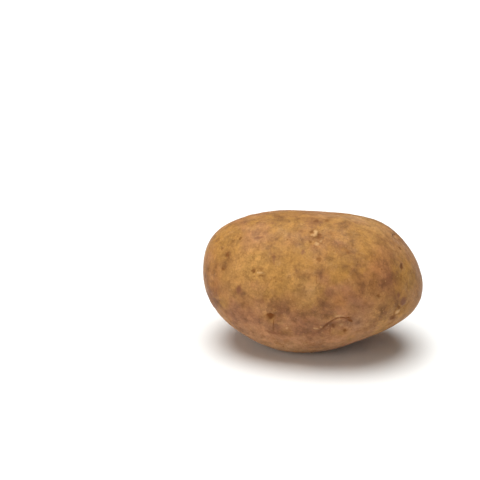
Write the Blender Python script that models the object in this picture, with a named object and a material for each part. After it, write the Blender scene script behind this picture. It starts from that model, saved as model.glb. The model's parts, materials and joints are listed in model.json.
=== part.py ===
"""One potato, lying on its side on the small flat spot that it rests on.

Metres, +Z up. +X runs along the tuber from its heel end, where it grew on the plant, to its bud end.
The front is -Y. The origin is on the resting surface, under the middle of the tuber's box.
"""

import math

import bmesh
import bpy
from mathutils import Vector
from mathutils.bvhtree import BVHTree

# The main form: a long, blunt oval.
LENGTH = 0.097
WIDTH = 0.0662
HEIGHT = 0.0613
BLUNTNESS = 2.35  # 2 is an ellipse along the tuber, and more is squarer at the ends
BELLY_SHIFT = 0.09  # how far the widest section sits towards the heel, as a share of half the length
TAPER = 0.10  # how much wider the bud end is than the middle, and the heel narrower
ENDS_LIFT = 0.0023  # how far both ends curve up

# Broad swells and hollows of the oval: longitude and latitude in degrees, height, and spread in degrees.
# Longitude 0 is the bud end, -90 the front and 90 the back. Latitude 90 is the top.
SWELLS = (
    (-95, -60, 0.0032, 26),  # low on the front
    (0, -11, 0.0032, 26),  # the bud end
    (-25, -44, -0.0021, 26),  # low on the front, towards the bud end
    (-3, 28, -0.0023, 26),  # the shoulder above the bud end
    (-165, 40, 0.0012, 26),  # the shoulder above the heel
    (42, 68, -0.0016, 13),  # a dip on the top
    (95, -62, 0.0016, 26),  # low on the back
    (78, 22, -0.0013, 18),  # a hollow on the back
    (140, 8, 0.0012, 22),  # the back, towards the heel
    (40, -28, 0.0010, 20),  # low on the back, towards the bud end
)

FLAT_SPOT_DEPTH = 0.0009  # how much of the round belly the flat spot takes away

# The larger eyes, as shallow dimples: longitude and latitude seen from the middle of the tuber, depth
# and radius. They follow each other round the tuber, closer together towards the bud end.
EYES = (
    (-79, 58, 0.0004, 0.0045),
    (-128, 22, 0.0003, 0.0035),
    (-115, -8, 0.0005, 0.0045),
    (-63, -10, 0.0008, 0.0060),
    (-25, -5, 0.0006, 0.0040),
    (-19, 19, 0.0004, 0.0040),
    (4, 30, 0.0006, 0.0040),
    (14, -4, 0.0007, 0.0042),
    (38, 34, 0.0007, 0.0048),
    (52, -14, 0.0007, 0.0050),
    (88, 30, 0.0008, 0.0055),
    (108, -16, 0.0006, 0.0045),
    (146, 26, 0.0005, 0.0042),
    (-168, -14, 0.0004, 0.0035),
)
HEEL_SCAR = (178, 8, 0.0011, 0.0048)  # where the tuber hung from its runner, as an eye's numbers

SKIN_COLOUR = (0.46, 0.27, 0.12, 1.0)
SKIN_ROUGHNESS = 0.62
MESH_STEPS = 5  # subdivisions of the starting ball, for edges of about 3 mm


def clear_scene():
    for leftover in list(bpy.data.objects):
        bpy.data.objects.remove(leftover, do_unlink=True)


def direction_to(longitude, latitude):
    around = math.radians(longitude)
    up = math.radians(latitude)
    return Vector((math.cos(up) * math.cos(around), math.cos(up) * math.sin(around), math.sin(up)))


def bell(distance, spread):
    return math.exp(-((distance / spread) ** 2))


def oval_point(direction):
    """The point of the main form that a direction of the starting ball moves to."""
    across = math.hypot(direction.y, direction.z)
    reach = (abs(direction.x) ** BLUNTNESS + across**BLUNTNESS) ** (1 / BLUNTNESS)
    along, side, up = direction / reach
    girth = 1 + TAPER * along
    return Vector(
        (
            LENGTH / 2 * (along - BELLY_SHIFT * (1 - along**2)),
            WIDTH / 2 * side * girth,
            HEIGHT / 2 * up * girth + ENDS_LIFT * along**2,
        )
    )


def outward(direction):
    """The outward direction there of an ellipsoid of the same size."""
    return Vector((direction.x / LENGTH, direction.y / WIDTH, direction.z / HEIGHT)).normalized()


def swell_height(direction):
    """How far the broad swells and hollows move the surface outward."""
    total = 0.0
    for longitude, latitude, height, spread in SWELLS:
        apart = direction.angle(direction_to(longitude, latitude))
        total += height * bell(apart, math.radians(spread))
    return total


def ball_to_tuber(body):
    for vertex in body.verts:
        direction = vertex.co.normalized()
        vertex.co = oval_point(direction) + outward(direction) * swell_height(direction)


def stand_on_origin(body):
    """Moves the tuber so that the middle of its box's underside is the origin."""
    xs, ys, zs = zip(*(vertex.co for vertex in body.verts))
    middle = Vector(((min(xs) + max(xs)) / 2, (min(ys) + max(ys)) / 2, min(zs)))
    bmesh.ops.translate(body, verts=body.verts, vec=-middle)


def press_dimples(body):
    """Sinks each eye and the heel scar into the surface, along the surface's normal."""
    body.normal_update()
    surface = BVHTree.FromBMesh(body)
    middle = Vector((0, 0, HEIGHT / 2))
    moves = [Vector((0, 0, 0)) for _ in body.verts]
    for longitude, latitude, depth, radius in (*EYES, HEEL_SCAR):
        centre = surface.ray_cast(middle, direction_to(longitude, latitude))[0]
        for number, vertex in enumerate(body.verts):
            moves[number] -= vertex.normal * depth * bell((vertex.co - centre).length, radius)
    for vertex, move in zip(body.verts, moves):
        vertex.co += move


def cut_flat_spot(body):
    """Takes the lowest part of the belly off with a level cut, and closes it with one flat face."""
    height = min(vertex.co.z for vertex in body.verts) + FLAT_SPOT_DEPTH
    everything = body.verts[:] + body.edges[:] + body.faces[:]
    cut = bmesh.ops.bisect_plane(
        body, geom=everything, dist=1e-6, plane_co=(0, 0, height), plane_no=(0, 0, -1), clear_outer=True
    )
    rim = [piece for piece in cut["geom_cut"] if isinstance(piece, bmesh.types.BMEdge)]
    bmesh.ops.edgeloop_fill(body, edges=rim)
    for edge in rim:
        edge.smooth = False
    bmesh.ops.recalc_face_normals(body, faces=body.faces)


def skin_material():
    material = bpy.data.materials.new("potato_skin")
    material.use_nodes = True
    surface = material.node_tree.nodes["Principled BSDF"]
    surface.inputs["Base Color"].default_value = SKIN_COLOUR
    surface.inputs["Roughness"].default_value = SKIN_ROUGHNESS
    surface.inputs["Metallic"].default_value = 0.0
    return material


def make_potato():
    body = bmesh.new()
    bmesh.ops.create_icosphere(body, subdivisions=MESH_STEPS, radius=1.0)
    ball_to_tuber(body)
    stand_on_origin(body)
    press_dimples(body)
    cut_flat_spot(body)
    stand_on_origin(body)
    mesh = bpy.data.meshes.new("potato")
    body.to_mesh(mesh)
    body.free()
    for face in mesh.polygons:
        face.use_smooth = True
    mesh.materials.append(skin_material())
    potato = bpy.data.objects.new("potato", mesh)
    bpy.context.scene.collection.objects.link(potato)


clear_scene()
make_potato()
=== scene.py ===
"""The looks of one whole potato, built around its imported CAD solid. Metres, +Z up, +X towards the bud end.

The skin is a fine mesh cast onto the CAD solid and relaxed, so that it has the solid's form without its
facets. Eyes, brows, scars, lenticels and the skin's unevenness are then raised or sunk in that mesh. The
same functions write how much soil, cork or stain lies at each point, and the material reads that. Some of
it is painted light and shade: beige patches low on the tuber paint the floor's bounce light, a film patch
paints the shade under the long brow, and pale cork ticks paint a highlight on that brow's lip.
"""

import json
import math
import random
from dataclasses import dataclass

import bmesh
import bpy
import numpy as np
from mathutils import Matrix, Vector, noise
from mathutils.bvhtree import BVHTree

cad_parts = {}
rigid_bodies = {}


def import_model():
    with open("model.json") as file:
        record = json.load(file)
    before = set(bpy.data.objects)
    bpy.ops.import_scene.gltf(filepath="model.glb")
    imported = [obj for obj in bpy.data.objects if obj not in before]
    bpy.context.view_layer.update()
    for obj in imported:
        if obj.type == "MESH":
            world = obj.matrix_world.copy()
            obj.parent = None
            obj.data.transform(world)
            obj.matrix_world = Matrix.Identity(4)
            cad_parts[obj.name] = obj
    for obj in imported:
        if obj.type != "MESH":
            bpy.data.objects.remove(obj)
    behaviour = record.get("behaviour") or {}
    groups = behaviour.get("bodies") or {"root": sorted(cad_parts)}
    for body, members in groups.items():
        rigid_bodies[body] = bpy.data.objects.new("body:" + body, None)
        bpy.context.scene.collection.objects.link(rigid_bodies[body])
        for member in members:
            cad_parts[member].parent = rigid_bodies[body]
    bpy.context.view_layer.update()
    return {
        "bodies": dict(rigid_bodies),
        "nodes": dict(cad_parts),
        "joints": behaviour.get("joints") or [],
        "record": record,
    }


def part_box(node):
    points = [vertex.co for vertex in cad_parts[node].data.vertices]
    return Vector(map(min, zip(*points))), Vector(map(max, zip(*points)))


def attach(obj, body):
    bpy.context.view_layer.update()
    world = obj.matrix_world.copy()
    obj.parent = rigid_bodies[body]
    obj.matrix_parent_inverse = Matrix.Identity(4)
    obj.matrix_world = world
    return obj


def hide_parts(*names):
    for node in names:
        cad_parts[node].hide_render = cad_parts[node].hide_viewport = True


MM = 0.001

# The skin's mesh: a box of cells, long ways and round, blown up onto the tuber. Cells near anything small
# that grows on the skin are split once more.
LONG_CELLS = 126
ROUND_CELLS = 86
RELAX_ROUNDS = 30  # enough to lose the CAD solid's facets of about 3 mm

BAKE_MARGIN = 0.004  # round the whole bake map, as a share of its width

# How far round each small thing the mesh has its finer cells, in millimetres
FINE_ROUND_EYE = 5.0
FINE_PAST_EDGE = 1.2
FINE_ROUND_CRACK = 1.6

# The camera: a long lens, above the potato and a little to the bud end's side of square on. It aims left of
# the potato's middle and above it. Angles are in degrees, and distances in metres.
LENS_MM = 100
CAMERA_AZIMUTH = 9
CAMERA_ELEVATION = 22
CAMERA_DISTANCE = 0.603
AIM_LEFT = 0.0328
AIM_UP = 0.0175

# The lights: name, the way to it, how wide it looks in degrees, strength and colour
LIGHTS = (
    ("panel", (-0.10, 0.08, 1.0), 54, 4.0, (0.985, 1.0, 0.985)),
    ("fill", (-0.55, -0.8, 0.22), 60, 1.38, (1.0, 0.93, 0.85)),
)
SURROUND_LIGHT = 0.09  # how strongly the white surround lights the scene
SURROUND_SEEN = 1.05  # how bright the camera sees it

# Colours: the skin's own, and those of what lies on it. The beige is also painted bounce light low on the
# tuber, the umber painted shade under the long brow, and the cork a painted highlight on that brow's lip
TAN = (0.375, 0.168, 0.055, 1)
GOLD = (0.395, 0.190, 0.044, 1)
ROSE = (0.365, 0.156, 0.074, 1)
BUFF = (0.490, 0.255, 0.095, 1)
PALE = (0.560, 0.290, 0.080, 1)
BEIGE_AND_BOUNCE_LIGHT = (0.480, 0.275, 0.145, 1)
AMBER = (0.370, 0.145, 0.030, 1)
UMBER = (0.160, 0.058, 0.024, 1)
BROWN = (0.190, 0.072, 0.018, 1)
PURPLE = (0.210, 0.078, 0.030, 1)
SOIL = (0.150, 0.045, 0.007, 1)
CORK_AND_HIGHLIGHT = (0.580, 0.345, 0.155, 1)

SHEEN_TINT = (1.0, 0.82, 0.66, 1)
FLOOR_WHITE = (0.9, 0.9, 0.9, 1)

BARE_ROUGHNESS = (0.52, 0.70)  # from the skin's waxiest to its dullest
DULLING = 0.25  # how much rougher soil and cork are
BUMP_UNIT = 0.15  # the height in millimetres that the finest relief is counted in

# Specks: cell size and radius in millimetres, colour, how much of it, and height in bump units
FRECKLES = (
    (3.3, 0.45, BUFF, 0.55, 0.6),
    (2.3, 0.32, SOIL, 0.35, -0.5),
)

# The skin's unevenness: height and wavelength in millimetres, octaves, and the noise's shift
UNEVENNESS = (
    (0.45, 30, 2, 0.0),
    (0.16, 9, 3, 11.0),
    (0.07, 2.2, 2, 23.0),
)

# The section of every eye, in millimetres
CREASE_WIDTH = 0.42
LIP_OFF = 1.3  # from the crease to the top of the lip that stands over it
LIP_WIDTH = 1.2
PIT_LONG = 3.0
PIT_WIDE = 1.6
BUD_RADIUS = 0.9
BUD_STRETCH = 1.25  # how much longer the bud is than it is wide
EYE_RAGGED = 0.35  # how far noise moves its outline
PIT_SOIL = 0.65  # how much soil the pit holds, as a share of the crease's

# The hollow on the other side of a crack from its lip, in millimetres
HOLLOW_OFF = 1.6
HOLLOW_WIDTH = 1.6


@dataclass
class Eye:
    """An eye: a curved brow over a shallow pit that holds a bud. Lengths are in millimetres.

    The brow runs from left to right of its highest point, and drops by bow towards each end. Turn is the
    angle in degrees from the tuber's long way to the brow, counter-clockwise as seen from outside. Crease and
    pit are depths, and lip and bud are heights. Soil and cork are how much of each is laid, from 0 to 1.
    """

    longitude: float
    latitude: float
    turn: float = 0.0
    left: float = 4.0
    right: float = 4.0
    bow_left: float = 1.3
    bow_right: float = 1.3
    crease: float = 0.22
    lip: float = 0.20
    pit: float = 0.45
    pit_drop: float = 1.6
    bud: float = 0.45
    soil: float = 0.8
    cork_and_highlight: float = 0.5


@dataclass
class Mark:
    """A spot of soil, cork or stain with a ragged edge; a few pale cork spots paint a highlight on a brow's
    lip. Half lengths and rise are in millimetres.

    Amount is from 0 to 1, and turn is the angle from the tuber's long way to the spot's, as for an eye.
    """

    kind: str
    longitude: float
    latitude: float
    half_long: float
    half_wide: float
    amount: float
    rise: float = 0.0
    turn: float = 0.0


@dataclass
class Crack:
    """A thin sunk line through places given as longitude and latitude. Lengths are in millimetres.

    Lip is how far the skin stands up on the line's left, and sinks on its right.
    """

    places: tuple
    half_width: float
    depth: float
    soil: float
    lip: float = 0.0


# The front's eyes are shallow
FRONT_EYES = (
    Eye(-79, 57, -20, left=3.0, right=3.2, crease=0.1, lip=0.1, pit=0.35, bud=0.1, soil=0.1, cork_and_highlight=0.0),
    Eye(-127, 22, 0, 2.6, 2.6, 0.5, 0.5, crease=0.1, pit=0.25, bud=0.15, soil=0.1, cork_and_highlight=0.0),
    Eye(-115, -7, 5, left=3.0, right=2.6, crease=0.15, pit=0.5, bud=0.2, soil=0.6, cork_and_highlight=0.0),
    Eye(-25, -4, 20, left=3.4, right=3.0, crease=0.2, pit=0.6, pit_drop=1.4, bud=0.4, soil=0.5, cork_and_highlight=0.3),
    Eye(-18, 19, 70, left=3.0, right=2.4, crease=0.05, pit=0.5, bud=0.2, soil=0.3, cork_and_highlight=0.0),
)

# Those of the ends and the back are mostly deeper, under stronger brows
OTHER_EYES = (
    Eye(6, 32, 80, crease=0.25, pit=0.7, soil=0.7),
    Eye(14, -4, -62, left=4.0, right=5.5, bow_right=2.2, crease=0.45, lip=0.4, pit=1.0, soil=1.0),
    Eye(38, 34, 150, left=5.5, right=4.5, bow_left=2.0, bow_right=1.6, crease=0.35, lip=0.35, pit=0.9),
    Eye(52, -14, 190, left=5.0, right=6.0, bow_right=2.4, crease=0.5, lip=0.45, pit=1.0, soil=1.0, cork_and_highlight=0.7),
    Eye(88, 30, 176, left=8.0, bow_left=3.2, bow_right=1.8, crease=0.4, lip=0.45, pit=1.0, pit_drop=2.6),
    Eye(108, -16, 170, left=5.0, bow_left=1.8, crease=0.45, lip=0.4, pit=0.9, soil=1.0, cork_and_highlight=0.2),
    Eye(146, 26, 182, left=3.2, right=3.6, crease=0.3, lip=0.3, pit=0.6, soil=0.7),
    Eye(-168, -14, 10, left=2.8, right=2.8, pit=0.5, soil=0.7),
)

# The spots of the front and the top, roughly from the heel end to the bud end
FRONT_MARKS = (
    Mark("soil", -155, 35, 0.8, 0.8, 0.75),
    Mark("soil", -157, 31, 2.2, 1.0, 0.45, turn=50),
    Mark("soil", -158, 24, 0.9, 1.0, 0.60),
    Mark("soil", -152, 23, 1.3, 1.3, 0.75, rise=-0.15),
    Mark("soil", -149, 20, 0.7, 3.2, 0.35),
    Mark("soil", -150, 15, 1.2, 0.9, 0.70, rise=-0.10),
    Mark("stain", -145, 42, 2.5, 0.8, 0.75),
    Mark("stain", -136, 7, 1.8, 2.2, 1.00),
    Mark("soil", -131, 21, 1.0, 1.2, 0.75, rise=-0.10),
    Mark("soil", -129, 24, 3.1, 1.0, 0.45),
    Mark("cork_and_highlight", -126, 21.3, 2.0, 0.5, 0.65, rise=0.15),
    Mark("soil", -125, 19.5, 2.0, 0.4, 0.65),
    Mark("stain", -120, 33, 1.0, 2.6, 0.65),
    Mark("soil", -116, -9, 2.0, 1.6, 0.95, rise=-0.20),
    Mark("soil", -113, -8, 0.9, 1.2, 0.75),
    Mark("stain", -116, -24, 3.6, 1.0, 0.85),
    Mark("cork_and_highlight", -104, -19, 0.8, 0.9, 0.55),
    Mark("stain", -95, 44, 1.2, 1.2, 0.75),
    Mark("soil", -89, 53.5, 0.8, 0.9, 0.60),
    Mark("soil", -88, 63.5, 0.9, 1.2, 0.70, rise=-0.15),
    Mark("stain", -84, 76, 4.4, 4.4, 0.65),
    Mark("cork_and_highlight", -84, 58, 3.4, 3.6, 0.25, rise=0.10),
    Mark("cork_and_highlight", -85, 60, 1.2, 0.8, 0.70, rise=0.20),
    Mark("cork_and_highlight", -81, 62.5, 1.0, 2.0, 0.85, rise=0.30),
    # painted highlight: this pale cork tick and those at longitudes -77 and -65.5 paint the light caught on
    # the long brow's lip
    Mark("cork_and_highlight", -81, -16.3, 1.4, 0.5, 0.60, rise=0.12),
    Mark("cork_and_highlight", -80, 52, 1.1, 0.9, 0.65, rise=0.15),
    Mark("soil", -79, 38, 1.2, 1.2, 0.65),
    Mark("soil", -76, 78, 1.0, 1.6, 0.60),
    Mark("cork_and_highlight", -77, -14, 0.7, 0.6, 0.60, rise=0.10),
    Mark("soil", -75.5, 59.5, 1.3, 1.8, 0.80, rise=-0.20),
    Mark("cork_and_highlight", -75, 54, 0.7, 0.8, 0.55, rise=0.10),
    Mark("soil", -70, -18, 0.5, 2.2, 0.60),
    Mark("soil", -68, -14, 0.7, 1.2, 0.60),
    Mark("cork_and_highlight", -62, -13, 1.9, 1.0, 0.40),
    Mark("cork_and_highlight", -65.5, -4.2, 2.4, 0.6, 0.60, rise=0.08),
    Mark("soil", -60.5, -6.2, 2.6, 0.75, 1.00),
    Mark("soil", -59, -18, 1.2, 1.3, 0.80, rise=-0.10),
    Mark("soil", -57, -8.4, 1.4, 0.7, 1.00, turn=-40),
    Mark("soil", -51, 40, 1.0, 0.9, 0.50),
    Mark("soil", -43, 13, 2.6, 2.3, 0.40),
    Mark("soil", -41, 8, 1.0, 1.0, 0.70),
    Mark("soil", -41, 75, 1.2, 1.6, 0.60),
    Mark("soil", -28, -15, 1.3, 1.3, 0.65),
    Mark("soil", -27.5, -8, 1.3, 1.3, 0.65),
    Mark("stain", -28, 5, 1.0, 1.6, 0.85),
    Mark("soil", -26.5, -3.0, 2.3, 0.7, 0.80, turn=-60),
    Mark("soil", -29, -9, 1.4, 1.6, 0.70),
    Mark("cork_and_highlight", -26.5, -6.0, 1.7, 1.2, 1.00, rise=0.35, turn=-60),
    Mark("stain", -24, 0, 1.8, 2.5, 1.00),
    Mark("soil", -23, 14, 0.8, 2.3, 0.50),
    Mark("soil", -17.5, 19, 1.4, 1.8, 0.90),
)

# The long curved brow low on the front, which has no pit, and three thin cracks
LONG_BROW = ((-80, -20), (-76, -17.5), (-73, -12.5), (-67, -7.2), (-62, -5.8), (-56, -9.5))
FRONT_CRACKS = (
    Crack(LONG_BROW, half_width=0.75, depth=0.50, soil=0.90, lip=0.45),
    Crack(((-114, -11), (-114, -15), (-115, -22)), half_width=0.33, depth=0.15, soil=0.85),
    Crack(((-81.6, 27), (-81.2, 21), (-81.5, 12)), half_width=0.30, depth=0.08, soil=0.60),
    Crack(((-67, 51), (-66.5, 47)), half_width=0.26, depth=0.08, soil=0.45),
)

# The scar where the tuber hung from its runner. Angles are in degrees, and lengths in millimetres.
HEEL_SCAR = (178, 8)
HEEL_TURN = 25
HEEL_DEPTH = 0.9
HEEL_RADIUS = 1.6
HEEL_RAGGED = 1.1
RIM_HEIGHT = 0.3
RIM_RADIUS = 2.6

# Broad patches, a few of them painted light and shade: kind, longitude, latitude, how far they reach along
# and across in millimetres, and amount
PATCHES = (
    ("gold", -120, 24, 13, 10, 1.0),
    ("gold", -50, 38, 10, 9, 0.9),
    ("gold", -100, 62, 14, 8, 0.6),
    ("gold", -160, 30, 6, 10, 0.7),
    ("gold", 110, 30, 16, 12, 0.8),
    ("gold", -160, 60, 13, 9, 1.0),
    ("gold", -95, 48, 10, 8, 0.7),
    ("rose", -90, -32, 28, 9, 0.8),
    ("rose", -50, -16, 12, 7, 0.7),
    ("rose", 100, -36, 26, 9, 0.8),
    ("pale", -133, 21, 10, 13, 1.0),
    ("pale", -98, 22, 6, 6, 0.7),
    ("pale", -147, 44, 6, 6, 0.5),
    ("pale", -40, -9, 7, 7, 0.9),
    ("pale", -4, 42, 9, 8, 0.7),
    ("pale", 150, 20, 9, 9, 0.7),
    ("pale", 70, -10, 10, 8, 0.6),
    # painted light: the broad beige patches low on the tuber, here and on the back, paint the lighter, greyer
    # underside that the floor's bounce light and reflection give
    ("beige_and_bounce_light", -90, -50, 30, 11, 1.0),
    ("beige_and_bounce_light", -142, -30, 10, 8, 0.6),
    ("beige_and_bounce_light", -42, -32, 12, 7, 0.7),
    ("beige_and_bounce_light", -53, -11, 5, 4, 0.9),
    ("beige_and_bounce_light", -87, 13, 4, 6, 0.4),
    # painted light: the floor's bounce light on the back's underside
    ("beige_and_bounce_light", 90, -50, 28, 10, 0.9),
    ("beige_and_bounce_light", 6, 54, 18, 6, 0.7),
    ("amber", -66, 9, 4, 4, 0.8),
    ("amber", -37, 24, 8, 8, 0.9),
    ("amber", -157, 4, 6, 9, 0.9),
    ("amber", -28, 4, 6, 8, 0.6),
    ("amber", -52, 48, 9, 6, 0.5),
    ("amber", 120, 0, 12, 10, 0.6),
    ("film_and_shade", -35, 18, 7, 8, 0.8),
    # painted shade: this film patch darkens the skin under the long brow's lip
    ("film_and_shade", -69, -15, 8, 5, 1.0),
    ("film_and_shade", -70, 13, 6, 5, 0.6),
    ("film_and_shade", -76, 24, 4, 5, 0.9),
    ("film_and_shade", -52, 44, 7, 6, 0.6),
    ("film_and_shade", -149, 21, 3, 7, 0.9),
    ("film_and_shade", -107, -6, 9, 6, 0.9),
    ("film_and_shade", -95, -22, 24, 7, 0.6),
    ("film_and_shade", -138, -11, 9, 6, 1.0),
    ("film_and_shade", -156, -4, 6, 8, 0.8),
    ("film_and_shade", 60, 20, 15, 12, 0.7),
    ("film_and_shade", 160, -12, 12, 9, 0.7),
)

# All that can lie on the skin, painted light and shade among it, and the patches that are a plain tint: kind,
# share and colour
KINDS = ("soil", "cork_and_highlight", "stain", "gold", "rose", "pale", "beige_and_bounce_light", "amber", "film_and_shade")
PATCH_TINTS = (("pale", 0.58, PALE), ("beige_and_bounce_light", 0.60, BEIGE_AND_BOUNCE_LIGHT), ("amber", 0.55, AMBER))

# What is scattered over the skin, as the seeded draws place it
SEED = 5
LENTICELS = 220
LENTICEL_GAP = 0.09  # the least angle between two, in radians from the tuber's middle
LENTICEL_RADII = (0.4, 0.85)  # in millimetres
LENTICEL_STRENGTHS = (0.4, 1.0)
OTHER_MARKS = 46
MARK_SIZES = (0.6, 1.6)  # half widths in millimetres
OTHER_CRACKS = 12
CRACK_REACHES = (2.5, 6.0)  # half lengths in degrees
FRONT = (-165, -12)  # the longitudes that the front's own lists look after
FRONT_LOW = -32  # the latitude they reach down to
TOP = 40  # the lists look after all that lies above this latitude


def direction_to(longitude, latitude):
    """The way from the tuber's middle. Longitude 0 is the bud end, and -90 the front."""
    around = math.radians(longitude)
    up = math.radians(latitude)
    return Vector((math.cos(up) * math.cos(around), math.cos(up) * math.sin(around), math.sin(up)))


def bell(distance, spread):
    """1 at no distance, falling off smoothly to near 0 at twice the spread."""
    return np.exp(-((distance / spread) ** 2))


def step(value, low, high):
    """0 below low, 1 above high, and smooth between them."""
    share = np.clip((value - low) / (high - low), 0, 1)
    return share * share * (3 - 2 * share)


def noise_at(points, wavelength, octaves=3, shift=0.0):
    """Fractal noise of about -1 to 1, with that wavelength in metres."""
    return np.array([noise.fractal(Vector(p), 1.0, 2.0, octaves) for p in points / wavelength + shift])


# ---- the mesh ----


class Surface:
    """The CAD solid, as something to cast points onto."""

    def __init__(self, frame, node):
        low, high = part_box(node)
        self.middle = (low + high) / 2
        self.half = (high - low) / 2
        mesh = frame["nodes"][node].data
        corners = [vertex.co for vertex in mesh.vertices]
        self.tree = BVHTree.FromPolygons(corners, [list(face.vertices) for face in mesh.polygons])

    def cast(self, direction):
        """The surface's point and normal in a direction from the middle."""
        point, normal, _, _ = self.tree.ray_cast(self.middle, direction)
        return point, normal


def box_cells():
    """The box's corner points in whole cells, its quads, and each quad corner's place on the bake map."""
    size = np.array([LONG_CELLS, ROUND_CELLS, ROUND_CELLS])
    base = 10**4  # more than the cells of any side, so that each corner has a key of its own
    keys, places = [], []
    for side_number in range(6):
        axis, far = side_number % 3, side_number // 3
        across, down = ((axis + 1) % 3, (axis + 2) % 3) if far else ((axis + 2) % 3, (axis + 1) % 3)
        u, v = np.meshgrid(np.arange(size[across] + 1), np.arange(size[down] + 1), indexing="ij")
        corner = np.zeros((*u.shape, 3), int)
        corner[..., axis] = far * size[axis]
        corner[..., across] = u
        corner[..., down] = v
        key = corner @ np.array([1, base, base**2])
        place = chart_places(side_number, u, v, long_first=across == 0)
        for grid, found in ((key, keys), (place, places)):
            quads = np.stack([grid[:-1, :-1], grid[1:, :-1], grid[1:, 1:], grid[:-1, 1:]], axis=2)
            found.append(quads.reshape(-1, *quads.shape[2:]))
    unique, quads = np.unique(np.concatenate(keys), return_inverse=True)
    corners = np.stack([unique % base, unique // base % base, unique // base**2], axis=1)
    return corners / size * 2 - 1, quads.reshape(-1, 4), np.concatenate(places)


def chart_places(side_number, u, v, long_first):
    """Lays the box's sides out on the bake map: four long ones in two columns, and the ends under them."""
    gap = 2  # cells between charts
    if side_number % 3 == 0:
        column, row = side_number // 3 * (ROUND_CELLS + gap), 2 * (ROUND_CELLS + gap)
        return np.stack([u + column, v + row], axis=-1)
    if not long_first:
        u, v = v, ROUND_CELLS - u
    column = side_number // 3 * (LONG_CELLS + gap)
    row = (side_number % 3 - 1) * (ROUND_CELLS + gap)
    return np.stack([u + column, v + row], axis=-1)


def cast_points(surface, corners):
    """Moves the box's points onto the CAD solid."""
    spread = np.tan(corners * math.pi / 4) * np.array(surface.half)
    return np.array([surface.cast(Vector(way))[0] for way in spread])


def relax(points, quads):
    """Moves each point halfway to the middle of its neighbours, many times over."""
    ends = np.concatenate([quads[:, [0, 1]], quads[:, [1, 2]], quads[:, [2, 3]], quads[:, [3, 0]]])
    count = np.bincount(ends[:, 0], minlength=len(points))[:, None]
    for _ in range(RELAX_ROUNDS):
        total = np.stack([np.bincount(ends[:, 0], points[ends[:, 1], k], len(points)) for k in range(3)], 1)
        points = (points + total / count) / 2
    return points


def fine_mesh(surface, small):
    """The tuber's skin as a mesh, with finer cells round the small things: (place, radius) pairs."""
    corners, quads, places = box_cells()
    points = relax(cast_points(surface, corners), quads)
    mesh = bpy.data.meshes.new("skin")
    mesh.from_pydata(points.tolist(), [], quads.tolist())
    layer = mesh.uv_layers.new(name="OFBake")
    layer.uv.foreach_set("vector", (places.reshape(-1, 2) / (places.max() + 2) + BAKE_MARGIN).ravel())
    near = np.zeros(len(points), bool)
    for place, radius in small:
        near |= np.linalg.norm(points - np.array(place), axis=1) < radius * MM
    body = bmesh.new()
    body.from_mesh(mesh)
    edges = [edge for edge in body.edges if near[edge.verts[0].index]]
    bmesh.ops.subdivide_edges(body, edges=edges, cuts=1, use_grid_fill=True)
    body.to_mesh(mesh)
    body.free()
    mesh.shade_smooth()
    return mesh


def read_points(mesh):
    """The mesh's points and their normals."""
    points = np.empty(len(mesh.vertices) * 3)
    normals = np.empty(len(mesh.vertices) * 3)
    mesh.vertices.foreach_get("co", points)
    mesh.vertices.foreach_get("normal", normals)
    return points.reshape(-1, 3), normals.reshape(-1, 3)


# ---- what grows on it ----


class Skin:
    """The height of the skin over the relaxed solid, and what lies on it, for each point of the mesh.

    Two ragged noises make outlines uneven, and broken makes what is laid along them uneven too.
    """

    def __init__(self, surface, points, normals):
        self.surface = surface
        self.points = points
        self.normals = normals
        self.height = np.zeros(len(points))
        self.laid = {kind: np.zeros(len(points)) for kind in KINDS}
        self.ragged_x = noise_at(points, 1.6 * MM, 2, shift=51.0)
        self.ragged_y = noise_at(points, 1.6 * MM, 2, shift=67.0)
        self.broken = 0.8 + 0.4 * self.ragged_y

    def local(self, longitude, latitude, turn, fade):
        """Each point's place along and across a spot on the skin in millimetres, and whether it is near it.

        The last is 1 round the spot. It falls to 0 where the skin has dropped away from the spot's own plane,
        between the two heights in fade, so that nothing shows through on the tuber's other side.
        """
        centre, normal = self.surface.cast(direction_to(longitude, latitude))
        along = Vector((1, 0, 0)) - normal * normal.x
        along = Matrix.Rotation(math.radians(turn), 3, normal) @ along.normalized()
        across = along.cross(normal)
        apart = (self.points - np.array(centre)) / MM
        here = step(apart @ np.array(normal), *fade)
        return apart @ np.array(along), apart @ np.array(across), here

    def raise_by(self, amount_mm):
        self.height += amount_mm * MM

    def lay(self, kind, amount):
        """Lays soil, cork or the like where there is less of it."""
        self.laid[kind] = np.maximum(self.laid[kind], np.clip(amount, 0, 1))


def add_unevenness(skin):
    """Low swellings, down to a slight roughness."""
    for height_mm, wavelength_mm, octaves, shift in UNEVENNESS:
        skin.raise_by(height_mm * noise_at(skin.points, wavelength_mm * MM, octaves, shift))


def add_patches(skin):
    """Broad golden, rosy, pale, beige, amber and filmed areas, with uneven edges. Beige low on the tuber is
    painted bounce light, and one film patch is painted shade under the long brow.
    """
    ragged = 0.5 * noise_at(skin.points, 7 * MM, 3, shift=41.0)
    for kind, longitude, latitude, long_radius, round_radius, amount in PATCHES:
        x, y, here = skin.local(longitude, latitude, turn=0.0, fade=(-22, -14))
        patch = bell(np.hypot(x / long_radius, y / round_radius), 1.0) * here
        skin.lay(kind, amount * patch * (1 + ragged))


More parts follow.
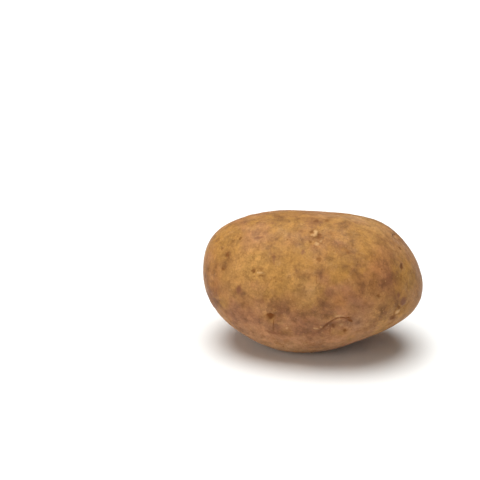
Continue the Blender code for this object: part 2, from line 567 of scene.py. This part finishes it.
def add_eye(skin, eye):
    """Sinks the crease and the pit, and raises the lip over the crease and the bud in the pit."""
    x, y, here = skin.local(eye.longitude, eye.latitude, eye.turn, fade=(-14, -9))
    x = x + EYE_RAGGED * skin.ragged_x
    y = y + EYE_RAGGED * skin.ragged_y
    reach = np.where(x < 0, x / -eye.left, x / eye.right)
    drop = np.where(x < 0, eye.bow_left, eye.bow_right) * reach**2
    inward = y - drop
    ends = here * (1 - step(reach, 0.45, 1.15))
    crease = bell(inward, CREASE_WIDTH) * ends
    skin.raise_by(-eye.crease * crease)
    skin.raise_by(eye.lip * bell(inward + LIP_OFF, LIP_WIDTH) * ends)
    pit = bell(np.hypot(x / PIT_LONG, (y - eye.pit_drop) / PIT_WIDE), 1.0) * here
    skin.raise_by(-eye.pit * pit)
    bud = bell(np.hypot(x / BUD_STRETCH, y - eye.pit_drop) / BUD_RADIUS, 1.0) * here
    skin.raise_by(eye.bud * bud)
    skin.lay("soil", eye.soil * crease * skin.broken)
    skin.lay("soil", eye.soil * PIT_SOIL * pit * (1 - bud) * skin.broken)
    skin.lay("cork_and_highlight", eye.cork_and_highlight * step(bud, 0.25, 0.7) * skin.broken)


def add_mark(skin, mark):
    """Lays a spot, raised or sunk. Soil gathers round a corky one."""
    x, y, here = skin.local(mark.longitude, mark.latitude, mark.turn, fade=(-8, -5))
    blur = 0.25 + 0.3 * min(mark.half_long, mark.half_wide)
    apart = np.hypot((x + blur * skin.ragged_x) / mark.half_long, (y + blur * skin.ragged_y) / mark.half_wide)
    spot = (1 - step(apart, 0.3, 1.7)) * here
    skin.lay(mark.kind, mark.amount * spot)
    skin.raise_by(mark.rise * spot)
    if mark.kind == "cork_and_highlight":
        rim = bell(apart - 1.45, 0.35) * here
        skin.lay("soil", 0.45 * mark.amount * rim)


def near_line(skin, line):
    """Each point's distance from a line and to its left, in millimetres, and its share of the way along."""
    nearest = np.full(len(skin.points), np.inf)
    left = np.zeros(len(skin.points))
    share = np.zeros(len(skin.points))
    for number, (start, end) in enumerate(zip(line[:-1], line[1:])):
        way = end - start
        along = np.clip((skin.points - start) @ way / (way @ way), 0, 1)
        apart = (skin.points - start - along[:, None] * way) / MM
        distance = np.linalg.norm(apart, axis=1)
        closer = distance < nearest
        side = np.einsum("ij,ij->i", apart, np.cross(skin.normals, way / np.linalg.norm(way)))
        left[closer] = side[closer]
        share[closer] = (number + along[closer]) / (len(line) - 1)
        nearest[closer] = distance[closer]
    return nearest, left, share


def add_crack(skin, crack):
    """Sinks a line that thins out towards its ends, with a lip on its left and a hollow on its right."""
    nearest, left, share = near_line(skin, rounded(crack_line(skin.surface, crack)))
    thinning = np.sin(np.pi * np.clip(share, 0.02, 0.98)) ** 0.4
    groove = bell(nearest + 0.12 * skin.ragged_x, crack.half_width) * thinning
    skin.raise_by(-crack.depth * groove)
    near = step(-nearest, -4.0, -2.5) * thinning
    lip, hollow = bell(left - LIP_OFF, LIP_WIDTH), bell(left + HOLLOW_OFF, HOLLOW_WIDTH)
    skin.raise_by(crack.lip * near * (lip - hollow))
    skin.lay("soil", crack.soil * groove * skin.broken)


def crack_line(surface, crack):
    """The crack's places as points on the CAD solid."""
    return np.array([surface.cast(direction_to(*place))[0] for place in crack.places])


def rounded(line):
    """Cuts an open line's corners twice, so that it runs smoothly."""
    for _ in range(2):
        before, after = line[:-1] * 0.75 + line[1:] * 0.25, line[:-1] * 0.25 + line[1:] * 0.75
        between = np.stack([before, after], axis=1).reshape(-1, 3)
        line = np.concatenate([line[:1], between, line[-1:]])
    return line


def add_lenticel(skin, longitude, latitude, radius, strength):
    """A low wart with a pale rim and a dark middle."""
    x, y, here = skin.local(longitude, latitude, turn=0.0, fade=(-4, -2))
    blur = 0.25 * radius
    apart = np.hypot(x + blur * skin.ragged_x, y + blur * skin.ragged_y) / radius
    skin.raise_by(0.16 * strength * radius * (bell(apart, 0.9) - 0.8 * bell(apart, 0.35)) * here)
    skin.lay("soil", 0.75 * strength * bell(apart, 0.55) * here)
    skin.lay("cork_and_highlight", 0.45 * strength * bell(apart - 1.0, 0.3) * here)


def add_heel_scar(skin):
    """A dark dent with a low rim, and cork on a part of the rim."""
    x, y, here = skin.local(*HEEL_SCAR, HEEL_TURN, fade=(-12, -8))
    apart = np.hypot(0.8 * x + HEEL_RAGGED * skin.ragged_x, 1.15 * y + HEEL_RAGGED * skin.ragged_y)
    skin.raise_by(-HEEL_DEPTH * bell(apart, HEEL_RADIUS) * here)
    skin.raise_by(RIM_HEIGHT * bell(apart - RIM_RADIUS, 0.8) * here)
    skin.lay("soil", bell(apart, 1.8) * here)
    torn = step(skin.ragged_x - skin.ragged_y, -0.5, 0.4)
    skin.lay("cork_and_highlight", 0.6 * bell(apart - 2.3, 0.7) * torn * here)


# ---- what is scattered ----


def random_place(draws):
    """A longitude and latitude, as likely on any part of the round."""
    return draws.uniform(-180, 180), math.degrees(math.asin(draws.uniform(-1, 1)))


def hidden_place(draws):
    """A random place that the front's own lists don't look after."""
    while True:
        longitude, latitude = random_place(draws)
        if latitude < FRONT_LOW or (latitude < TOP and not FRONT[0] < longitude < FRONT[1]):
            return longitude, latitude


def scatter_lenticels(draws):
    """Places, radii and strengths of lenticels that keep their distance from each other."""
    found = []
    while len(found) < LENTICELS:
        longitude, latitude = random_place(draws)
        way = direction_to(longitude, latitude)
        if all(way.angle(direction_to(*other[:2])) > LENTICEL_GAP for other in found):
            radius = draws.uniform(*LENTICEL_RADII)
            found.append((longitude, latitude, radius, draws.uniform(*LENTICEL_STRENGTHS)))
    return found


def scatter_marks(draws):
    """Spots for the sides that the front's own lists don't look after."""
    found = []
    for _ in range(OTHER_MARKS):
        kind = draws.choice(("soil", "soil", "soil", "stain", "cork_and_highlight"))
        size = draws.uniform(*MARK_SIZES)
        amount = draws.uniform(0.3, 0.6) if kind == "cork_and_highlight" else draws.uniform(0.5, 0.9)
        rise = draws.uniform(0.1, 0.3) if kind == "cork_and_highlight" else draws.uniform(-0.15, 0.0)
        place = hidden_place(draws)
        half_long = size * draws.uniform(0.8, 1.6)
        found.append(Mark(kind, *place, half_long, size, amount, rise, turn=draws.uniform(0, 180)))
    return found


def scatter_cracks(draws):
    """Short thin lines, each bent a little at its middle."""
    found = []
    for _ in range(OTHER_CRACKS):
        longitude, latitude = hidden_place(draws)
        reach = draws.uniform(*CRACK_REACHES)
        way = draws.uniform(0, 2 * math.pi)
        ahead = (reach * math.cos(way), reach * math.sin(way))
        bend = draws.uniform(-1.2, 1.2)
        places = (
            (longitude - ahead[0], latitude - ahead[1]),
            (longitude + bend, latitude - bend),
            (longitude + ahead[0], latitude + ahead[1]),
        )
        depth = draws.uniform(0.06, 0.2)
        found.append(Crack(places, half_width=0.27, depth=depth, soil=draws.uniform(0.4, 0.8)))
    return found


def store(mesh, skin):
    """Moves the mesh's points, none below the resting surface, and keeps what lies on each."""
    moved = skin.points + skin.normals * skin.height[:, None]
    moved[:, 2] = np.maximum(moved[:, 2], 0.0)
    mesh.vertices.foreach_set("co", moved.ravel())
    for kind, amount in skin.laid.items():
        layer = mesh.attributes.new(kind, "FLOAT", "POINT")
        layer.data.foreach_set("value", amount.astype(np.float32))
    mesh.update()


def small_places(surface, eyes, marks, cracks, lenticels):
    """Where the mesh needs finer cells: (place, radius in millimetres) pairs."""
    small = [((eye.longitude, eye.latitude), FINE_ROUND_EYE) for eye in eyes]
    for mark in marks:
        reach = FINE_PAST_EDGE + max(mark.half_long, mark.half_wide)
        small.append(((mark.longitude, mark.latitude), reach))
    small += [(lenticel[:2], FINE_PAST_EDGE) for lenticel in lenticels]
    small = [(surface.cast(direction_to(*place))[0], radius) for place, radius in small]
    for crack in cracks:
        small += [(place, FINE_ROUND_CRACK) for place in rounded(crack_line(surface, crack))]
    return small


def make_potato(surface):
    """The whole tuber as one object, with all that grows on it."""
    draws = random.Random(SEED)
    eyes = FRONT_EYES + OTHER_EYES
    marks = [*FRONT_MARKS, *scatter_marks(draws)]
    cracks = [*FRONT_CRACKS, *scatter_cracks(draws)]
    lenticels = scatter_lenticels(draws)
    mesh = fine_mesh(surface, small_places(surface, eyes, marks, cracks, lenticels))
    skin = Skin(surface, *read_points(mesh))
    add_unevenness(skin)
    add_patches(skin)
    for eye in eyes:
        add_eye(skin, eye)
    for mark in marks:
        add_mark(skin, mark)
    for crack in cracks:
        add_crack(skin, crack)
    for lenticel in lenticels:
        add_lenticel(skin, *lenticel)
    add_heel_scar(skin)
    store(mesh, skin)
    potato = bpy.data.objects.new("potato_whole", mesh)
    bpy.context.scene.collection.objects.link(potato)
    mesh.materials.append(skin_material())
    return potato


# ---- materials ----


class Nodes:
    """Short ways to add shader nodes to a material."""

    def __init__(self, name):
        self.material = bpy.data.materials.new(name)
        self.material.use_nodes = True
        self.tree = self.material.node_tree
        self.surface = self.tree.nodes["Principled BSDF"]
        self.where = self.add("ShaderNodeTexCoord").outputs["Object"]

    def add(self, kind, **settings):
        node = self.tree.nodes.new(kind)
        for name, value in settings.items():
            setattr(node, name, value)
        return node

    def feed(self, socket, value):
        """Links value to the socket if it is an output, or sets it."""
        if isinstance(value, bpy.types.NodeSocket):
            self.tree.links.new(value, socket)
        else:
            socket.default_value = value

    def noise(self, wavelength_mm, detail=3.0, roughness=0.55, distortion=0.0):
        """A noise that swings round 0.5, seldom by more than 0.2."""
        node = self.add("ShaderNodeTexNoise")
        self.feed(node.inputs["Vector"], self.where)
        self.feed(node.inputs["Scale"], 1000 / wavelength_mm)
        self.feed(node.inputs["Detail"], detail)
        self.feed(node.inputs["Roughness"], roughness)
        self.feed(node.inputs["Distortion"], distortion)
        return node.outputs["Fac"]

    def band(self, value, low, high, out_low=0.0, out_high=1.0):
        """Maps low..high to out_low..out_high, smoothly and without passing them."""
        node = self.add("ShaderNodeMapRange", interpolation_type="SMOOTHSTEP")
        names = ("Value", "From Min", "From Max", "To Min", "To Max")
        for name, given in zip(names, (value, low, high, out_low, out_high)):
            self.feed(node.inputs[name], given)
        return node.outputs["Result"]

    def maths(self, operation, *values):
        node = self.add("ShaderNodeMath", operation=operation)
        for socket, value in zip(node.inputs, values):
            self.feed(socket, value)
        return node.outputs["Value"]

    def mix(self, share, first, second, blend="MIX"):
        node = self.add("ShaderNodeMix", data_type="RGBA", blend_type=blend)
        self.feed(node.inputs[0], share)
        self.feed(node.inputs[6], first)
        self.feed(node.inputs[7], second)
        return node.outputs[2]

    def tinted(self, colour, tint, pattern, low, high, most):
        """The colour, with a tint that comes in as the pattern goes from low to high."""
        return self.mix(self.band(pattern, low, high, 0.0, most), colour, tint)

    def shade(self, colour, factor):
        """The colour made darker or lighter by a factor."""
        grey = self.add("ShaderNodeCombineColor")
        for channel in grey.inputs[:3]:
            self.feed(channel, factor)
        return self.mix(1.0, colour, grey.outputs[0], "MULTIPLY")

    def stored(self, name):
        """How much of a kind lies there, as the mesh keeps it."""
        return self.add("ShaderNodeAttribute", attribute_name=name).outputs["Fac"]

    def ragged(self, name):
        """A stored amount, with its edge broken up finer than the mesh can hold."""
        torn = self.maths("MULTIPLY_ADD", self.noise(0.8, detail=4, roughness=0.65), 0.6, -0.3)
        return self.band(self.maths("ADD", self.stored(name), torn), 0.12, 1.05)

    def scaled(self, name, factor):
        return self.maths("MULTIPLY", self.stored(name), factor)

    def voronoi(self, cell_mm, feature, warp_mm):
        """Cells of about that size, their places shaken by up to warp_mm."""
        shake = self.add("ShaderNodeTexNoise")
        self.feed(shake.inputs["Vector"], self.where)
        self.feed(shake.inputs["Scale"], 1000 / (1.5 * cell_mm))
        moved = self.add("ShaderNodeVectorMath", operation="MULTIPLY_ADD")
        self.feed(moved.inputs[0], shake.outputs["Color"])
        self.feed(moved.inputs[1], (2 * warp_mm * MM,) * 3)
        self.feed(moved.inputs[2], self.where)
        node = self.add("ShaderNodeTexVoronoi", feature=feature)
        self.feed(node.inputs["Vector"], moved.outputs["Vector"])
        self.feed(node.inputs["Scale"], 1000 / cell_mm)
        return node


def skin_material():
    """Tan skin with its patches, specks and netting, and the stain, cork and soil that lie on it. Some
    patches and cork ticks are painted light and shade: bounce light low on the tuber, shade under the long
    brow and a highlight on that brow's lip.

    Soil and cork are duller than the skin between them.
    """
    skin = Nodes("potato_skin")
    colour = skin_ground(skin)
    colour, freckle_height = add_freckles(skin, colour)
    colour = skin.mix(skin.ragged("stain"), colour, PURPLE)
    # painted highlight: the cork colour also lightens the long brow's lip
    colour = skin.mix(skin.ragged("cork_and_highlight"), colour, CORK_AND_HIGHLIGHT)
    colour = skin.mix(skin.ragged("soil"), colour, SOIL)
    skin.feed(skin.surface.inputs["Base Color"], colour)
    roughness = skin.band(skin.noise(5.5, detail=5), 0.3, 0.7, *BARE_ROUGHNESS)
    dull = skin.maths("MAXIMUM", skin.stored("soil"), skin.stored("cork_and_highlight"))
    skin.feed(skin.surface.inputs["Roughness"], skin.maths("MULTIPLY_ADD", dull, DULLING, roughness))
    skin.surface.inputs["Specular IOR Level"].default_value = 0.20
    skin.surface.inputs["Sheen Weight"].default_value = 0.05
    skin.surface.inputs["Sheen Roughness"].default_value = 0.45
    skin.surface.inputs["Sheen Tint"].default_value = SHEEN_TINT
    skin.feed(skin.surface.inputs["Normal"], skin_bump(skin, freckle_height))
    return skin.material


def skin_ground(skin):
    """The skin's own colour, from its broad patches down to its grain, with painted bounce light low on the
    tuber and painted shade under the long brow.
    """
    golden = skin.maths("ADD", skin.noise(24, detail=2), skin.scaled("gold", 0.25))
    colour = skin.tinted(TAN, GOLD, golden, 0.42, 0.66, most=1.0)
    pinker = skin.maths("ADD", skin.scaled("film_and_shade", 0.15), skin.scaled("rose", 0.22))
    pinker = skin.maths("SUBTRACT", pinker, skin.scaled("gold", 0.14))
    rosy = skin.maths("ADD", skin.noise(15, detail=4, roughness=0.5, distortion=0.2), pinker)
    colour = skin.tinted(colour, ROSE, rosy, 0.46, 0.68, most=0.80)
    worn = skin.noise(7, detail=8, roughness=0.72)
    colour = skin.tinted(colour, BUFF, worn, 0.50, 0.68, most=0.55)
    # painted light: the beige tint also paints the floor's bounce light low on the tuber
    for patch, share, tint in PATCH_TINTS:
        colour = skin.mix(skin.scaled(patch, share), colour, tint)
    # painted shade: the film tint also darkens the skin under the long brow
    film_and_shade = skin.noise(10, detail=7, roughness=0.62, distortion=0.2)
    film_and_shade = skin.maths("ADD", film_and_shade, skin.scaled("film_and_shade", 0.17))
    colour = skin.tinted(colour, UMBER, film_and_shade, 0.48, 0.76, most=0.80)
    mottle = skin.noise(2.8, detail=5, roughness=0.62)
    colour = skin.tinted(colour, BROWN, mottle, 0.46, 0.74, most=0.55)
    grain = skin.band(skin.noise(0.9, detail=5, roughness=0.7), 0.28, 0.72, 0.84, 1.12)
    colour = skin.shade(colour, grain)
    cloud = skin.band(skin.noise(4, detail=4, roughness=0.6), 0.30, 0.70, 0.82, 1.14)
    colour = skin.shade(colour, cloud)
    netting = skin.voronoi(1.7, "DISTANCE_TO_EDGE", warp_mm=0.9).outputs["Distance"]
    darkest = skin.band(skin.noise(9, detail=3), 0.42, 0.62, 1.0, 0.80)
    return skin.shade(colour, skin.band(netting, 0.0, 0.10, darkest, 1.0))


def add_freckles(skin, colour):
    """Small specks, each kind as balls that the skin cuts through, and their height."""
    height = 0.0
    for cell_mm, radius_mm, tint, share, raised in FRECKLES:
        balls = skin.voronoi(cell_mm, "F1", warp_mm=0.35)
        size = radius_mm / cell_mm
        spot = skin.band(balls.outputs["Distance"], size * 0.3, size, 1.0, 0.0)
        colour = skin.mix(skin.maths("MULTIPLY", spot, share), colour, tint)
        height = skin.maths("ADD", height, skin.maths("MULTIPLY", spot, raised))
    return colour, height


def skin_bump(skin, freckle_height):
    """The relief of the grain, the pores and the specks."""
    grain = skin.maths("MULTIPLY", skin.noise(1.1, detail=6, roughness=0.72), 1.1)
    pores = skin.maths("MULTIPLY", skin.noise(0.45, detail=3), 0.35)
    bump = skin.add("ShaderNodeBump")
    bump.inputs["Strength"].default_value = 0.8
    bump.inputs["Distance"].default_value = BUMP_UNIT * MM
    total = skin.maths("ADD", skin.maths("ADD", grain, pores), freckle_height)
    skin.feed(bump.inputs["Height"], total)
    return bump.outputs["Normal"]


# ---- the studio ----


def make_floor():
    """A plain white sheet at height 0."""
    bpy.ops.mesh.primitive_plane_add(size=4.0, location=(0, 0, 0))
    floor = bpy.context.object
    floor.name = "floor"
    paper = Nodes("white_floor")
    paper.surface.inputs["Base Color"].default_value = FLOOR_WHITE
    paper.surface.inputs["Roughness"].default_value = 0.9
    paper.surface.inputs["Specular IOR Level"].default_value = 0.1
    floor.data.materials.append(paper.material)
    return floor


def make_world():
    """A plain white surround, which lights the potato less strongly than the camera sees it."""
    world = bpy.data.worlds.new("surround")
    bpy.context.scene.world = world
    world.use_nodes = True
    tree = world.node_tree
    background = tree.nodes["Background"]
    background.inputs["Color"].default_value = (1, 1, 1, 1)
    path = tree.nodes.new("ShaderNodeLightPath")
    strength = tree.nodes.new("ShaderNodeMapRange")
    strength.inputs["To Min"].default_value = SURROUND_LIGHT
    strength.inputs["To Max"].default_value = SURROUND_SEEN
    tree.links.new(path.outputs["Is Camera Ray"], strength.inputs["Value"])
    tree.links.new(strength.outputs["Result"], background.inputs["Strength"])


def add_light(name, way, angle, strength, colour):
    """A wide soft light from far away, which lights the whole floor evenly."""
    lamp = bpy.data.lights.new(name, "SUN")
    lamp.angle = math.radians(angle)
    lamp.energy = strength
    lamp.color = colour
    stand = bpy.data.objects.new(name, lamp)
    stand.rotation_euler = Vector(way).to_track_quat("Z", "Y").to_euler()
    bpy.context.scene.collection.objects.link(stand)


def make_camera(target):
    """A camera above the target, which it keeps right of the picture's middle and below it."""
    around, up = math.radians(CAMERA_AZIMUTH), math.radians(CAMERA_ELEVATION)
    back = Vector((math.sin(around) * math.cos(up), -math.cos(around) * math.cos(up), math.sin(up)))
    right = Vector((math.cos(around), math.sin(around), 0))
    lens = bpy.data.cameras.new("camera")
    lens.lens = LENS_MM
    camera = bpy.data.objects.new("camera", lens)
    aim = target - right * AIM_LEFT + back.cross(right) * AIM_UP
    camera.location = aim + back * CAMERA_DISTANCE
    camera.rotation_euler = back.to_track_quat("Z", "Y").to_euler()
    bpy.context.scene.collection.objects.link(camera)
    bpy.context.scene.camera = camera


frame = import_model()
surface = Surface(frame, "potato")
potato = make_potato(surface)
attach(potato, "root")
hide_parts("potato")
make_floor()
make_world()
for light in LIGHTS:
    add_light(*light)
make_camera(surface.middle)
bpy.context.scene.view_settings.view_transform = "Standard"
